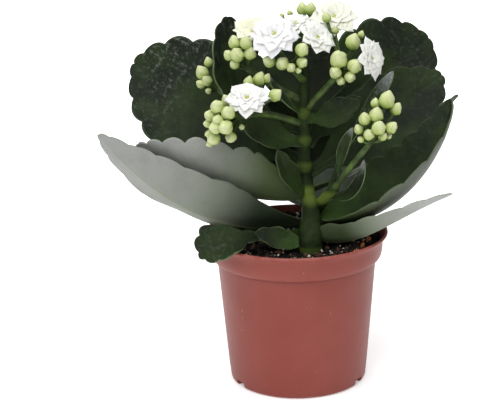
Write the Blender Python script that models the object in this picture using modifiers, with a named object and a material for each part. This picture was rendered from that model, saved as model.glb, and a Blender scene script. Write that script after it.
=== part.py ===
"""A florist's kalanchoe with double white flowers in a plain plastic nursery pot.

All sizes below are millimetres. X is right, Y is away from the viewer, Z is up, and
the middle of the pot's underside is the origin.
"""
import math

import bpy
from mathutils import Matrix, Vector, noise

MM = 0.001
GAP = 0.3
PART = "potted_kalanchoe"

RIM_R = 52.5
RIM_Z = 88.1
BAND_R = 49.6
BAND_Z = 72.5
BAND_TOP_Z = 84.2
BODY_R = 45.6
FOOT_R = 39.5
WALL = 1.5
FLOOR = 3.0
NOTCHES = 3
NOTCH_W = 8.0
NOTCH_H = 3.6
DRAINS = 6
DRAIN_R = 3.0
DRAIN_RING = 27.0

SOIL_EDGE_Z = 83.0
SOIL_HEAP = 4.5
SOIL_RINGS = 6
# The two holes in the soil: x, y, the foot's radius there and the foot's lowest height.
STEM_HOLES = [(9.0, -3.0, 5.6, 70.0), (7.0, -27.5, 6.8, 79.0)]
HOLE_DEPTH = 60.0

LEAF_THICK = 1.4
PETIOLE_HALF = 3.0
PETAL_THICK = 0.7

STEM_PATH = [(9.0, -3.0, 70.0), (9.0, -3.0, 84.0), (7.5, -2.0, 104.0), (5.3, 0.0, 126.0),
             (5.3, 0.0, 141.0), (5.5, 0.0, 157.0), (5.9, 0.0, 176.0), (6.0, 0.0, 186.0)]
STEM_RADII = [5.6, 5.2, 4.6, 3.6, 3.4, 3.1, 2.8, 2.4]
SIDE_SHOOT = [(8.0, -2.0, 98.0), (15.0, -10.0, 108.0), (21.0, -17.0, 117.0)]
SIDE_RADII = [3.6, 3.0, 2.4]
SECOND_FOOT = [(7.5, -3.0, 108.0), (8.0, -14.0, 101.0), (7.0, -26.0, 93.0),
               (7.0, -27.5, 85.0), (7.0, -27.5, 79.0)]
FOOT_RADII = [4.0, 5.4, 6.6, 6.6, 6.6]
NODE_RINGS = [(5.3, 0.0, 126.0, 4.6), (5.3, 0.0, 141.0, 4.4), (5.5, 0.0, 157.0, 4.0)]

# Each leaf: four spine points, the point its upper face looks at, half width, where it
# is widest, how far its + and - halves fold up (degrees), lobes, notch depth, wave, and
# the + half's share of that width.
LEAVES = {
    "leaf_upper_left": ((3.2, 2.6, 128), (-22, 16, 135), (-60, 38, 163), (-93, 50, 178),
                        (-80, -500, 330), 35, 0.62, 12, 12, 11, 2.8, 2.0, 1.0),
    "leaf_upright": ((3.9, 2.2, 148), (-28, 8, 150), (-36, 12, 176), (-36, 20, 209),
                     (200, -260, 220), 19, 0.68, 16, 16, 9, 2.2, 1.2, 1.0),
    "leaf_low_left": ((5.1, -3.3, 94), (-30, -17, 89), (-72, -33, 109), (-106, -40, 157),
                      (20, 225, 418), 23, 0.52, 14, 40, 11, 2.0, 1.0, 1.0),
    "leaf_left": ((4, -1.8, 109), (-24, -11, 106), (-52, -22, 128), (-86, -33, 149),
                  (20, 225, 418), 23, 0.46, 20, 55, 11, 2.6, 1.0, 1.0),
    "leaf_over_rim": ((6.4, -6, 88), (-9, -21, 89), (-33, -37, 103), (-54, -46, 88),
                      (-110, -300, 300), 13, 0.85, 14, 24, 9, 2.4, 1.0, 1.0),
    "leaf_low_right": ((9, -24, 92.5), (30, -31, 83.5), (48, -34, 103), (84, -37, 118.5),
                       (-30, 225, 400), 12, 0.24, 50, 60, 9, 1.8, 0.8, 0.85),
    "leaf_right": ((10.9, -4.2, 98.5), (38, -26, 88), (83, -30, 127), (87, -6, 164),
                   (-140, -120, 452), 31, 0.42, 75, 28, 11, 2.6, 1.0, 0.5),
    "leaf_upper_right": ((6.9, 2.2, 138), (23, 34, 152), (60, 45, 174), (82, 54, 188),
                         (80, -500, 330), 32, 0.60, 12, 12, 11, 2.8, 1.6, 1.0),
    "leaf_mid_right": ((7.9, 1.3, 122), (31, 10.5, 132.5), (60, 22, 152), (86, 23, 172),
                       (20, -420, 420), 24, 0.60, 12, 12, 9, 2.4, 1.2, 1.0),
    "leaf_edge_right": ((8.2, 1.5, 112), (38, 20, 115), (74, 36, 133), (97, 36, 157),
                        (-100, 160, 500), 19, 0.60, 14, 14, 9, 2.2, 1.0, 1.0),
    "leaf_small_right": ((10.8, 0, 92), (24, 8, 99), (40, 8, 105), (53, 5, 103),
                         (30, -200, 400), 11, 0.62, 12, 12, 7, 1.4, 0.6, 1.0),
    "leaf_back_left": ((5.8, 0.6, 103), (-13, 30, 103), (-34, 62, 114), (-46, 90, 134),
                       (20, 20, 500), 27, 0.60, 14, 14, 10, 2.4, 1.2, 1.0),
    "leaf_back_right": ((8.8, 0.8, 98), (15, 28, 97), (30, 60, 106), (42, 88, 130),
                        (20, 20, 500), 25, 0.60, 14, 14, 10, 2.4, 1.2, 1.0),
    "leaf_back_top": ((6.8, 2, 154), (7, 18, 158), (8, 29, 176), (6, 33, 199),
                      (0, -300, 420), 20, 0.55, 14, 14, 9, 2.0, 1.0, 1.0),
    "leaf_back_mid": ((6.2, 1.5, 117), (4, 20, 121), (-2, 32, 140), (-6, 36, 165),
                      (0, -300, 420), 22, 0.52, 14, 14, 9, 2.0, 1.0, 1.0),
    "leaf_stem_left": ((3.2, -1.9, 141), (-7, -6, 141), (-20, -6, 149), (-34, -5, 162),
                       (60, -260, 330), 9.5, 0.55, 12, 12, 7, 1.2, 0.6, 1.0),
    "leaf_stem_right": ((7.8, -1.4, 154), (15, -8, 154), (25, -12, 159), (36, -14, 168),
                        (20, -400, 300), 9, 0.55, 12, 12, 7, 1.0, 0.6, 1.0),
    "leaf_front_base": ((4, -27, 89), (-6, -30, 90), (-14, -30, 95), (-24, -31, 96.5),
                        (0, -400, 300), 6, 0.5, 12, 12, 5, 0.8, 0.6, 1.0),
    "leaf_shoot_left": ((4.5, -5, 112), (-3, -11, 119), (-7, -15, 128), (-10, -17, 140),
                        (60, -260, 300), 7, 0.5, 30, 30, 5, 0.8, 0.6, 1.0),
}
BRACTS = {
    "bract_low": ((19, -14, 112), (28, -20, 109), (35, -31, 120), (36.5, -31, 137),
                  (-60, -400, 330), 3.6, 0.55, 25, 25, 0, 0.0, 0.0, 1.0),
    "bract_mid": ((23.8, -20, 126.6), (23.6, -20, 135), (26.5, -23, 144), (31, -25, 153.5),
                  (-60, -400, 330), 3.4, 0.55, 25, 25, 0, 0.0, 0.0, 1.0),
    "bract_left": ((3.4, -1.9, 157), (-4, -9, 164), (-11, -12, 172), (-14, -12, 181),
                   (60, -260, 330), 2.4, 0.5, 30, 30, 0, 0.0, 0.0, 1.0),
    "bract_long": ((19, -13.5, 114.5), (22, -10, 132), (38, -15, 156), (54, -14, 182),
                   (-60, -400, 330), 4.2, 0.80, 25, 25, 0, 0.0, 0.0, 1.0),
}

# Each spray: root, bend, hub, then its buds (x, y, z, radius) and its blooms by name.
SPRAYS = {
    "spray_low_left": ((3.4, -0.6, 151), (-14, -8, 158), (-31, -27, 162), [
        (-42, -39, 170, 3.6), (-36.5, -41, 167, 3.6), (-46, -37, 165, 3.0),
        (-42, -42, 163.5, 2.9), (-47.5, -35, 160, 2.2), (-43.5, -42, 159.5, 3.3),
        (-38, -44, 160, 3.8), (-46.5, -35, 154.5, 2.5), (-44.5, -38, 152.5, 3.4),
        (-35.5, -38, 153, 2.9), (-47, -33, 148.5, 1.7), (-29.5, -34, 157.5, 1.5),
        (-37, -27, 170.5, 2.8), (-25.3, -19, 178.4, 2.8), (-19.6, -19, 180, 3.3),
        (-15.6, -19, 180.4, 2.3), (-11.3, -28, 173, 3.3)], ["bloom_front_left"]),
    "spray_back_left": ((3.4, 2.6, 140), (-14, 12, 146), (-43, 17, 168), [
        (-47.5, 18, 183, 2.5), (-51, 16, 177.5, 3.6), (-48.5, 13, 173.5, 2.9),
        (-52, 14, 171.5, 2.5), (-48, 12, 168, 1.7)], []),
    "spray_upper_left": ((3.4, 0.6, 164), (-12, 0, 173), (-26, -6, 184), [
        (-32, -10, 199, 3.4), (-26, -14, 199.5, 3.4), (-24, -13, 193.5, 3.4),
        (-31, -14, 193, 3.8), (-35.5, -12, 192.5, 2.8), (-32.5, -12, 187.5, 2.6)],
        ["bloom_upper_left"]),
    "spray_centre": ((5, -2, 176), (1, -8, 181), (-3, -12, 187), [
        (-13.5, -16, 189.5, 3.2), (-6.5, -18, 188.5, 3.4), (-2, -20, 186.5, 2.4),
        (4, -20, 196, 3.5), (4, -19, 189, 2.9), (2, -18, 184.5, 1.7)],
        ["bloom_centre"]),
    "spray_top": ((6, 0, 186.3), (6.2, 0.6, 191.5), (8, 6, 197), [
        (6, 16, 212, 3.3), (10.5, 15, 212, 3.3), (-5.5, 18, 208.5, 1.5),
        (-1, 17, 210, 1.7)], ["bloom_back", "bloom_top"]),
    "spray_upper_right": ((8, -1, 160), (17, -5, 171), (27, -7, 182), [
        (32.3, -10, 197.5, 4.0), (24, -18, 190, 4.6), (22, -20, 183.3, 3.2),
        (25, -18, 178, 2.2), (32.5, -19, 186.3, 3.8), (30, -19, 180.4, 2.9),
        (37, -6, 201, 1.8), (18.5, -2, 210, 2.5), (23.2, 0, 202.4, 2.1)],
        ["bloom_top_right", "bloom_right"]),
    "spray_low_right": ((21.2, -17.2, 117.3), (30, -26, 132), (40, -33, 147), [
        (42.5, -32, 168, 2.4), (48.5, -34, 170, 4.2), (53.5, -32, 164.5, 3.1),
        (42.5, -38, 163, 3.7), (36.5, -38, 161, 3.2), (33.5, -36, 155, 2.5),
        (43.5, -42, 157, 3.7), (50.5, -38, 156, 3.1), (38.5, -40, 153, 2.9),
        (34.5, -36, 149.5, 1.8), (46, -37, 151, 2.3), (49.5, -35, 150.5, 1.5)], []),
}

# Each bloom: where its base sits, the way it faces, its radius, how far it is open (0-1).
BLOOMS = {
    "bloom_front_left": ((-26.3, -33, 171.5), (0.0, -0.62, 0.78), 11.5, 1.0),
    "bloom_upper_left": ((-22, -3, 201), (-0.15, -0.45, 0.88), 12.0, 0.6),
    "bloom_centre": ((-10.8, -15, 203), (0.02, -0.77, 0.64), 13.5, 1.0),
    "bloom_back": ((2, 9, 203.5), (-0.1, -0.4, 0.9), 10.0, 0.9),
    "bloom_top": ((12, -6, 198.5), (0.4, -0.62, 0.66), 11.3, 0.8),
    "bloom_top_right": ((23, 10, 207), (0.05, -0.5, 0.86), 13.0, 0.9),
    "bloom_right": ((39.5, -15, 189), (0.75, -0.62, 0.25), 11.5, 0.85),
}
WHORLS = [(8, 1.0, 20.0, 0.0), (5, 0.78, 46.0, 1.0), (3, 0.5, 70.0, 1.9)]


def clear_scene():
    for thing in list(bpy.data.objects):
        bpy.data.objects.remove(thing, do_unlink=True)


def new_collection(name):
    group = bpy.data.collections.new(name)
    bpy.context.scene.collection.children.link(group)
    return group


def material(name, colour, rough):
    mat = bpy.data.materials.new(name)
    mat.use_nodes = True
    shader = mat.node_tree.nodes["Principled BSDF"]
    shader.inputs["Base Color"].default_value = (*colour, 1.0)
    shader.inputs["Roughness"].default_value = rough
    return mat


def claim(name, group, mat=None):
    """Take the object just added, give it its name, collection and material."""
    thing = bpy.context.object
    thing.name = name
    thing.data.name = name
    for other in list(thing.users_collection):
        other.objects.unlink(thing)
    group.objects.link(thing)
    if mat is not None:
        thing.data.materials.clear()
        thing.data.materials.append(mat)
    return thing


def apply_all(thing):
    bpy.ops.object.select_all(action="DESELECT")
    bpy.context.view_layer.objects.active = thing
    thing.select_set(True)
    for mod in list(thing.modifiers):
        bpy.ops.object.modifier_apply(modifier=mod.name)


def lathe(name, profile, steps, group, mat=None):
    """Turn a closed profile of (radius, height) points round the Z axis."""
    mesh = bpy.data.meshes.new(name)
    points = [(r * MM, 0.0, z * MM) for r, z in profile]
    count = len(points)
    mesh.from_pydata(points, [(i, (i + 1) % count) for i in range(count)], [])
    thing = bpy.data.objects.new(name, mesh)
    group.objects.link(thing)
    if mat is not None:
        mesh.materials.append(mat)
    screw = thing.modifiers.new("turn", "SCREW")
    screw.steps = steps
    screw.render_steps = steps
    screw.use_merge_vertices = True
    screw.merge_threshold = 0.00001
    screw.use_normal_calculate = True
    apply_all(thing)
    return thing


def tube(name, path, radii, group, sides=8, steps=2):
    """A round stalk through the path, thick as radii, with capped ends."""
    curve = bpy.data.curves.new(name, "CURVE")
    curve.dimensions = "3D"
    curve.bevel_depth = MM
    curve.bevel_resolution = max(0, sides // 2 - 2)
    curve.use_fill_caps = True
    curve.resolution_u = steps
    curve.render_resolution_u = steps
    spline = curve.splines.new("BEZIER")
    spline.bezier_points.add(len(path) - 1)
    for point, place, radius in zip(spline.bezier_points, path, radii):
        point.co = Vector(place) * MM
        point.radius = radius
        point.handle_left_type = "AUTO"
        point.handle_right_type = "AUTO"
    thing = bpy.data.objects.new(name, curve)
    group.objects.link(thing)
    bpy.ops.object.select_all(action="DESELECT")
    bpy.context.view_layer.objects.active = thing
    thing.select_set(True)
    bpy.ops.object.convert(target="MESH")
    return bpy.context.object


def boolean(thing, cutter, operation):
    mod = thing.modifiers.new(operation.lower(), "BOOLEAN")
    mod.operation = operation
    mod.solver = "EXACT"
    mod.object = cutter
    apply_all(thing)


def fuse(name, scrap, group, mat):
    """Join every object of the scrap collection into one closed body."""
    pieces = list(scrap.objects)
    first = pieces[0]
    scrap.objects.unlink(first)
    group.objects.link(first)
    first.name = name
    first.data.name = name
    first.data.materials.clear()
    first.data.materials.append(mat)
    if len(pieces) > 1:
        mod = first.modifiers.new("join", "BOOLEAN")
        mod.operation = "UNION"
        mod.solver = "EXACT"
        mod.operand_type = "COLLECTION"
        mod.collection = scrap
        mod.use_self = True
        apply_all(first)
    for piece in pieces[1:]:
        bpy.data.objects.remove(piece, do_unlink=True)
    bpy.data.collections.remove(scrap)
    return first


def bezier(points, s):
    a, b, c, d = (Vector(p) for p in points)
    t = 1.0 - s
    return a * t**3 + b * 3 * t * t * s + c * 3 * t * s * s + d * s**3


def frame_at(points, focus, s):
    """Place, upper side and sideways direction at s along a leaf."""
    here = bezier(points, s)
    ahead = (bezier(points, s + 0.01) - bezier(points, s - 0.01)).normalized()
    look = Vector(focus) - here
    upper = (look - ahead * look.dot(ahead)).normalized()
    return here, upper, ahead.cross(upper)


def half_width(s, half, widest):
    s = min(max(s, 0.0), 1.0)
    wave = math.sin(math.pi * s ** (math.log(0.5) / math.log(widest)))
    blade = max(wave, 0.0) ** (1.25 if s < widest else 0.62)
    stalk = PETIOLE_HALF * (1.0 - s) * min(1.0, half / 10.0)
    return max(half * blade, stalk)


def flat_point(t, f, length, half, widest, lobes, notch, share):
    """A leaf laid flat: t runs round its edge and f from its midrib to the edge."""
    s = 0.5 - 0.5 * math.cos(2.0 * math.pi * t)
    side = 1.0 if t < 0.5 else -1.0
    across = half_width(s, half, widest)
    rib = min(max(s - 0.14 * across / half, 0.0), 0.93)
    across *= share if t < 0.5 else 1.0
    along = (s - rib) * length
    reach = math.hypot(along, across)
    fade = min(max((s - 0.22) / 0.2, 0.0), 1.0)
    push = 0.0
    if lobes:
        push = notch * fade * (abs(math.sin(math.pi * lobes * t)) ** 0.55 - 0.65)
    scale = (reach + push) / reach if reach > 0.01 else 1.0
    return rib + f * scale * (s - rib), side * f * scale * across


def leaf(name, spec, group, mat, rows=2):
    """One leaf: a flat lobed blade bent along its spine, folded up and given thickness."""
    spine = spec[:4]
    focus, half, widest, fold_a, fold_b, lobes, notch, wave, share = spec[4:]
    columns = 3 * lobes if lobes else 12
    length = sum((bezier(spine, (i + 1) / 20) - bezier(spine, i / 20)).length for i in range(20))
    bpy.ops.mesh.primitive_grid_add(x_subdivisions=columns, y_subdivisions=rows, size=2.0)
    thing = claim(name, group, mat)
    for vert in thing.data.vertices:
        t = (vert.co.x + 1.0) / 2.0
        f = (vert.co.y + 1.0) / 2.0
        s, b = flat_point(t, f, length, half, widest, lobes, notch, share)
        here, upper, sideways = frame_at(spine, focus, s)
        r = abs(b)
        fold = math.radians(fold_a if b > 0 else fold_b)
        angle = fold * (0.35 + 0.65 * r / half)
        lift = wave * (r / half) ** 2 * math.sin(15.0 * s + (0.0 if b > 0 else 1.7))
        flat = sideways * math.copysign(r * math.cos(angle), b)
        vert.co = (here + flat + upper * (r * math.sin(angle) + lift)) * MM
    bpy.ops.object.mode_set(mode="EDIT")
    bpy.ops.mesh.select_all(action="SELECT")
    bpy.ops.mesh.remove_doubles(threshold=0.00005)
    bpy.ops.mesh.quads_convert_to_tris(quad_method="FIXED", ngon_method="CLIP")
    bpy.ops.mesh.normals_make_consistent(inside=False)
    bpy.ops.object.mode_set(mode="OBJECT")
    solid = thing.modifiers.new("thickness", "SOLIDIFY")
    solid.thickness = LEAF_THICK * MM
    solid.offset = 0.0
    apply_all(thing)
    return thing


def pot(group, cuts, mat):
    """The moulded pot: rounded foot, tapered body, bulged band and a flared lip."""
    profile = [(0.0, 0.0), (FOOT_R - 1.8, 0.0), (FOOT_R - 0.5, 0.6), (FOOT_R, 2.0),
               (BODY_R, BAND_Z), (BAND_R - 2.2, BAND_Z + 0.5),
               (BAND_R - 0.4, BAND_Z + 3.5), (BAND_R, BAND_TOP_Z), (RIM_R - 0.6, RIM_Z - 1.7),
               (RIM_R, RIM_Z - 0.8), (RIM_R - 0.4, RIM_Z), (RIM_R - 1.7, RIM_Z),
               (RIM_R - 2.3, RIM_Z - 1.1), (BAND_R - WALL, BAND_TOP_Z - 0.9),
               (BAND_R - WALL - 0.4, BAND_Z + 5.0), (BODY_R + 0.2, BAND_Z + 2.4),
               (BODY_R - WALL, BAND_Z - 0.5), (FOOT_R - WALL, FLOOR + 1.2),
               (FOOT_R - WALL - 1.5, FLOOR), (0.0, FLOOR)]
    body = lathe("pot", profile, 44, group, mat)
    for i in range(NOTCHES):
        turn = math.radians(210.0 + 360.0 / NOTCHES * i)
        bpy.ops.mesh.primitive_cube_add(size=1.0)
        cut = claim("notch_cut_%d" % i, cuts)
        cut.scale = (14.0 * MM, NOTCH_W * MM, NOTCH_H * 2 * MM)
        cut.location = (math.cos(turn) * FOOT_R * MM, math.sin(turn) * FOOT_R * MM, 0.0)
        cut.rotation_euler = (0.0, 0.0, turn)
        bpy.ops.object.transform_apply(location=True, rotation=True, scale=True)
        boolean(body, cut, "DIFFERENCE")
    for i in range(DRAINS):
        turn = math.radians(180.0 + 360.0 / DRAINS * i)
        bpy.ops.mesh.primitive_cylinder_add(vertices=10, radius=DRAIN_R * MM, depth=0.02)
        cut = claim("drain_cut_%d" % i, cuts)
        cut.location = (math.cos(turn) * DRAIN_RING * MM, math.sin(turn) * DRAIN_RING * MM, 0.0)
        bpy.ops.object.transform_apply(location=True, rotation=True, scale=True)
        boolean(body, cut, "DIFFERENCE")
    return body


def soil_height(x, y):
    """The soil's surface: hollow in front, heaped to the right, crumbly all over."""
    heap = SOIL_HEAP * math.exp(-((x - 34.0) ** 2 + (y + 8.0) ** 2) / 420.0)
    heap += 0.5 * SOIL_HEAP * math.exp(-((x + 22.0) ** 2 + (y - 34.0) ** 2) / 300.0)
    crumb = noise.noise(Vector((x * 0.16, y * 0.16, 3.1))) * 1.6
    return heap + crumb


def soil(group, cuts, mat):
    edge = BAND_R - WALL - GAP - 0.2
    profile = [(0.0, FLOOR + GAP), (FOOT_R - WALL - 1.5 - GAP, FLOOR + GAP),
               (FOOT_R - WALL - GAP - 0.05, FLOOR + 1.6),
               (BODY_R - WALL - GAP - 0.05, BAND_Z - 0.6),
               (BODY_R - 0.2, BAND_Z + 2.6), (edge - 0.35, BAND_Z + 5.3), (edge, SOIL_EDGE_Z)]
    profile += [(edge * (1 - i / SOIL_RINGS), SOIL_EDGE_Z + 1.0)
                for i in range(1, SOIL_RINGS + 1)]
    body = lathe("soil", profile, 30, group, mat)
    for vert in body.data.vertices:
        x, y, z = vert.co / MM
        if z > SOIL_EDGE_Z + 0.5:
            vert.co.z += soil_height(x, y) * MM
    for i, (x, y, radius, bottom) in enumerate(STEM_HOLES):
        bpy.ops.mesh.primitive_cylinder_add(vertices=16, radius=(radius + GAP) * MM,
                                            depth=HOLE_DEPTH * MM)
        cut = claim("stem_hole_cut_%d" % i, cuts)
        cut.location = (x * MM, y * MM, (bottom - GAP + HOLE_DEPTH / 2) * MM)
        bpy.ops.object.transform_apply(location=True, rotation=True, scale=True)
        boolean(body, cut, "DIFFERENCE")
    return body


def stem(name, extra, group, mat):
    """The upright stem, its side shoot, second foot and swollen nodes, as one body."""
    scrap = new_collection(name + "_parts")
    tube(name + "_main", STEM_PATH, [r + extra for r in STEM_RADII], scrap, 10, 1)
    tube(name + "_shoot", SIDE_SHOOT, [r + extra for r in SIDE_RADII], scrap, 8, 1)
    tube(name + "_foot", SECOND_FOOT, [r + extra for r in FOOT_RADII], scrap, 10, 1)
    for i, (x, y, z, r) in enumerate(NODE_RINGS):
        bpy.ops.mesh.primitive_uv_sphere_add(segments=8, ring_count=4, radius=1.0)
        ball = claim("%s_node_%d" % (name, i), scrap)
        ball.scale = ((r + extra) * MM, (r + extra) * MM, (2.6 + extra) * MM)
        ball.location = (x * MM, y * MM, z * MM)
        bpy.ops.object.transform_apply(location=True, rotation=True, scale=True)
    return fuse(name, scrap, group, mat)


def bud(name, place, radius, toward, group):
    """A closed bud: an egg drawn to a point, set along its own stalk."""
    bpy.ops.mesh.primitive_uv_sphere_add(segments=6, ring_count=3, radius=1.0)
    thing = claim(name, group)
    turn = Vector((0, 0, 1)).rotation_difference(toward).to_matrix()
    for vert in thing.data.vertices:
        x, y, z = vert.co
        slim = 1.0 - 0.25 * max(z, 0.0) ** 2
        long = 1.22 if z > 0 else 1.0
        local = Vector((x * slim, y * slim, z * long)) * radius
        vert.co = (Vector(place) + turn @ local) * MM
    return thing


def pedicel_end(place, facing):
    return Vector(place) - Vector(facing).normalized() * (GAP + 0.2)


def spray(name, spec, group, mat):
    """A stalk, its thin bud stalks and all its buds, as one body."""
    root, bend, hub, buds, blooms = spec
    scrap = new_collection(name + "_parts")
    tube(name + "_stalk", [root, bend, hub], [1.9, 1.7, 1.5], scrap, 6)
    hub = Vector(hub)
    for i, (x, y, z, r) in enumerate(buds):
        place = Vector((x, y, z))
        way = place - hub
        toward = (way.normalized() + Vector((0, -0.25, 0.35))).normalized()
        end = place - toward * r * 0.5
        tube("%s_ped_%d" % (name, i), [hub, end], [1.0, 0.9], scrap, 4, 1)
        bud("%s_bud_%d" % (name, i), place, r, toward, scrap)
    for other in blooms:
        place, facing = BLOOMS[other][:2]
        end = pedicel_end(place, facing)
        back = end - Vector(facing).normalized() * 5.0
        tube(name + "_" + other, [hub, back, end], [1.2, 1.0, 1.3], scrap, 6, 1)
    return fuse(name, scrap, group, mat)


def petal(name, length, width, rise, seat, group):
    """One petal: a disc drawn out to a point, cupped, thickened and set in its whorl."""
    bpy.ops.mesh.primitive_circle_add(vertices=5, radius=1.0, fill_type="TRIFAN")
    thing = claim(name, group)
    spin, step, turn, place = seat
    tilt = math.radians(rise)
    for vert in thing.data.vertices:
        along = (vert.co.y + 1.0) / 2.0
        across = vert.co.x * width / 2 * (0.12 + 0.9 * along ** 0.8)
        reach = along * length
        cup = 0.9 * (abs(across) * 2 / width) ** 2 + 0.10 * reach * (1.0 - along)
        out = reach * math.cos(tilt) - cup * math.sin(tilt) + 0.8
        up = reach * math.sin(tilt) + cup * math.cos(tilt) + 1.2 + step
        local = Matrix.Rotation(spin, 3, "Z") @ Vector((across, out, up))
        vert.co = (Vector(place) + turn @ local) * MM
    solid = thing.modifiers.new("thickness", "SOLIDIFY")
    solid.thickness = PETAL_THICK * MM
    solid.offset = 0.0
    apply_all(thing)
    return thing


def bloom(name, spec, group, mat):
    """A double flower: three whorls of petals round a small base, as one body."""
    place, facing, radius, opening = spec
    turn = Vector((0, 0, 1)).rotation_difference(Vector(facing).normalized()).to_matrix()
    scrap = new_collection(name + "_parts")
    bpy.ops.mesh.primitive_cylinder_add(vertices=8, radius=2.0 * MM, depth=4.4 * MM)
    base = claim(name + "_base", scrap)
    for vert in base.data.vertices:
        local = vert.co / MM + Vector((0, 0, 2.2))
        vert.co = (Vector(place) + turn @ local) * MM
    for w, (count, share, rise, step) in enumerate(WHORLS):
        lift = rise + (1.0 - opening) * (88.0 - rise)
        for i in range(count):
            spin = 2 * math.pi * (i + 0.5 * (w % 2) + 0.13 * w) / count
            size = radius * share * (1.0 + 0.06 * math.sin(5.0 * i + w))
            seat = (spin, step, turn, place)
            petal("%s_%d_%d" % (name, w, i), size, size * 0.5, lift, seat, scrap)
    return fuse(name, scrap, group, mat)


def build():
    clear_scene()
    group = new_collection(PART)
    cuts = new_collection("cutters")
    paint = {
        "pot_plastic": material("pot_plastic", (0.29, 0.075, 0.055), 0.5),
        "soil_mix": material("soil_mix", (0.02, 0.016, 0.013), 0.95),
        "stem_green": material("stem_green", (0.11, 0.22, 0.04), 0.5),
        "leaf_green": material("leaf_green", (0.025, 0.06, 0.022), 0.4),
        "bud_green": material("bud_green", (0.48, 0.6, 0.24), 0.5),
        "petal_white": material("petal_white", (0.85, 0.85, 0.82), 0.55),
    }
    pot(group, cuts, paint["pot_plastic"])
    soil(group, cuts, paint["soil_mix"])
    stem("stem", 0.0, group, paint["stem_green"])
    clearance = stem("stem_clearance", GAP, cuts, paint["stem_green"])
    for name, spec in LEAVES.items():
        boolean(leaf(name, spec, group, paint["leaf_green"]), clearance, "DIFFERENCE")
    for name, spec in BRACTS.items():
        boolean(leaf(name, spec, group, paint["leaf_green"]), clearance, "DIFFERENCE")
    for name, spec in SPRAYS.items():
        boolean(spray(name, spec, group, paint["bud_green"]), clearance, "DIFFERENCE")
    for name, spec in BLOOMS.items():
        bloom(name, spec, group, paint["petal_white"])
    for thing in cuts.objects:
        thing.hide_render = True
        thing.display_type = "WIRE"


build()
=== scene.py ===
import math
import random

import bpy
from mathutils import Matrix, Vector, noise


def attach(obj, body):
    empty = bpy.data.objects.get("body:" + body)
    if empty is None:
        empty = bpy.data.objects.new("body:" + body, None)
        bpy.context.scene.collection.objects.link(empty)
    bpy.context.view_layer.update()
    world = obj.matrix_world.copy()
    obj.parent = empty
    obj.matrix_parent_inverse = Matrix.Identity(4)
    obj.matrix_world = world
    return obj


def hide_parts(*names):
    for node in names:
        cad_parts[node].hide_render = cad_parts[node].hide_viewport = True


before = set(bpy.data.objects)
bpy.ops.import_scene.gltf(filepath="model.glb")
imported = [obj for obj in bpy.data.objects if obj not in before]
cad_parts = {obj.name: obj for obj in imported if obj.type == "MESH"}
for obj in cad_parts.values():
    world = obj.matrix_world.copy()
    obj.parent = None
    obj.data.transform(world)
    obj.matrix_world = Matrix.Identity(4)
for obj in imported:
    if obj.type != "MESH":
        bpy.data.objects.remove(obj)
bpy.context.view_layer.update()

# Camera and studio. The plant stands on a white sweep and is seen from a little above
# the pot's rim, through a long lens, in broad soft light from a tent of white cloth.
# Sizes in this section are in metres. Those of the pieces, further on, are in mm.
CAMERA_PLACE = (-0.026, -0.8, 0.3408)
LOOK_DOWN = 16.32
LEAN = -1.41
LENS_MM = 105.26
SENSOR_MM = 36.0
NEAREST_SEEN = 0.01
TENT_COLOUR = (0.96, 0.98, 1.0)
TENT_STRENGTH = 0.24
PLANT_MIDDLE = (0.0, 0.0, 0.12)
SWEEP_SIZE = 14.0
SWEEP_LEVEL = -0.0001
SWEEP_WHITE = (0.93, 0.93, 0.93)
SWEEP_DULL = (0.9, 0.9, 0.9)

bpy.ops.object.select_all(action="DESELECT")
bpy.ops.object.camera_add()
camera = bpy.context.object
camera.name = "camera"
camera.matrix_world = (Matrix.Translation(CAMERA_PLACE)
                       @ Matrix.Rotation(math.radians(90 - LOOK_DOWN), 4, "X")
                       @ Matrix.Rotation(math.radians(LEAN), 4, "Z"))
camera.data.sensor_width = SENSOR_MM
camera.data.lens = LENS_MM
camera.data.clip_start = NEAREST_SEEN
bpy.context.scene.camera = camera

tent = bpy.data.worlds.new("tent")
tent.use_nodes = True
tent.node_tree.nodes["Background"].inputs["Color"].default_value = (*TENT_COLOUR, 1.0)
tent.node_tree.nodes["Background"].inputs["Strength"].default_value = TENT_STRENGTH
bpy.context.scene.world = tent
bpy.context.scene.view_settings.view_transform = "Standard"


def soft_light(name, place, aim, size, watts, spread=180.0):
    """A square of lit cloth at place, facing aim."""
    bpy.ops.object.light_add(type="AREA", location=place)
    lamp = bpy.context.object
    lamp.name = name
    lamp.rotation_euler = (Vector(aim) - Vector(place)).to_track_quat("-Z", "Y").to_euler()
    lamp.data.shape = "SQUARE"
    lamp.data.size = size
    lamp.data.energy = watts
    lamp.data.spread = math.radians(spread)


soft_light("light_top", (-0.15, -0.35, 1.5), PLANT_MIDDLE, size=1.6, watts=26.0)
soft_light("light_front", (-0.4, -1.8, 1.1), PLANT_MIDDLE, size=1.2, watts=10.0)
soft_light("light_backdrop", (0.0, 2.4, 1.6), (0.0, 2.2, 0.0), size=2.4, watts=60.0, spread=96.0)


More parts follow.
